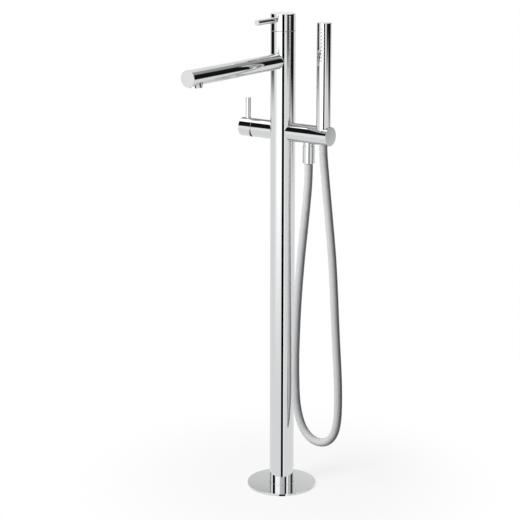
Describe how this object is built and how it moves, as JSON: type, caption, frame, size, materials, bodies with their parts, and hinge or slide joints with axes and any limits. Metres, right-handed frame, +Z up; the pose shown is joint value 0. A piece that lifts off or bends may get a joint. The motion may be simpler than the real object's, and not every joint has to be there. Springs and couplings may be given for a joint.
{
  "type": "floor standing bath filler",
  "caption": "Slim floor standing bath filler: round column, straight spout, side lever mixer, diverter knob on top, and a stick handset on a hose in a side arm.",
  "frame": {"origin": "centre of the column's foot on the floor, in the floor bolts' circle", "axes": "+Z up along the column, -Y along the spout, +X along the handset arm, -X along the mixer"},
  "size_m": [0.225, 0.339, 0.88],
  "materials": {
    "chrome_brass": "polished",
    "brass": "machined",
    "steel": "satin",
    "black_rubber": "matt",
    "soft_grey": "matt",
    "white_plastic": "matt",
    "grey_plastic": "matt",
    "hose_silver": "satin"
  },
  "bodies": {
    "fixed": {"column_tube": "chrome_brass", "cover_flange": "chrome_brass", "mixer_body": "chrome_brass", "spout_tube": "chrome_brass", "aerator_housing": "chrome_brass", "handset_arm": "chrome_brass", "hose_outlet": "chrome_brass", "hose_nut": "chrome_brass", "inlet_block": "brass", "valve_block": "brass", "diverter_block": "brass", "spout_plug": "brass", "spout_nipple": "brass", "arm_nipple": "brass", "aerator_boss": "brass", "hot_pipe": "brass", "cold_pipe": "brass", "mixed_riser": "brass", "return_pipe": "brass", "diverter_nut": "brass", "cartridge_ring_nut": "brass", "floor_plate": "steel", "foot_spigot": "steel", "column_grub_screws": "steel", "flange_seal": "black_rubber", "aerator_gasket": "black_rubber", "nut_washer": "black_rubber", "aerator_insert": "white_plastic", "cartridge_body": "white_plastic", "diverter_cartridge": "white_plastic", "glide_ring": "grey_plastic", "holder_bush": "grey_plastic", "shower_hose": "hose_silver"},
    "diverter": {"diverter_knob": "chrome_brass", "knob_lever": "chrome_brass", "diverter_stem": "brass", "knob_grub_screw": "steel"},
    "temperature": {"cartridge_turret": "white_plastic", "stem_pin": "brass"},
    "handle": {"cartridge_stem": "brass", "mixer_handle": "chrome_brass", "mixer_lever": "chrome_brass", "handle_grub_screw": "steel"},
    "lift": {"cone_nut": "chrome_brass", "cone_washer": "black_rubber"},
    "handset": {"handset_tube": "chrome_brass", "handset_end_cap": "chrome_brass", "handset_inlet": "brass", "nozzle_sleeve": "soft_grey"}
  },
  "joints": [
    {"name": "diverter_turn", "type": "hinge", "parent": "fixed", "child": "diverter", "pos_m": [0, 0, 0.85], "axis": [0, 0, 1], "range_deg": [-90, 0]},
    {"name": "temperature_turn", "type": "hinge", "parent": "fixed", "child": "temperature", "pos_m": [-0.055, 0, 0.671], "axis": [1, 0, 0], "range_deg": [-45, 45]},
    {"name": "flow_tilt", "type": "hinge", "parent": "temperature", "child": "handle", "pos_m": [-0.055, 0, 0.671], "axis": [0, -1, 0], "range_deg": [0, 17]},
    {"name": "handset_lift", "type": "slide", "parent": "fixed", "child": "lift", "axis": [0, 0, 1], "range_m": [0, 0.08]},
    {"name": "handset_turn", "type": "hinge", "parent": "lift", "child": "handset", "pos_m": [0.086, 0, 0.7], "axis": [0, 0, 1], "continuous": true}
  ]
}
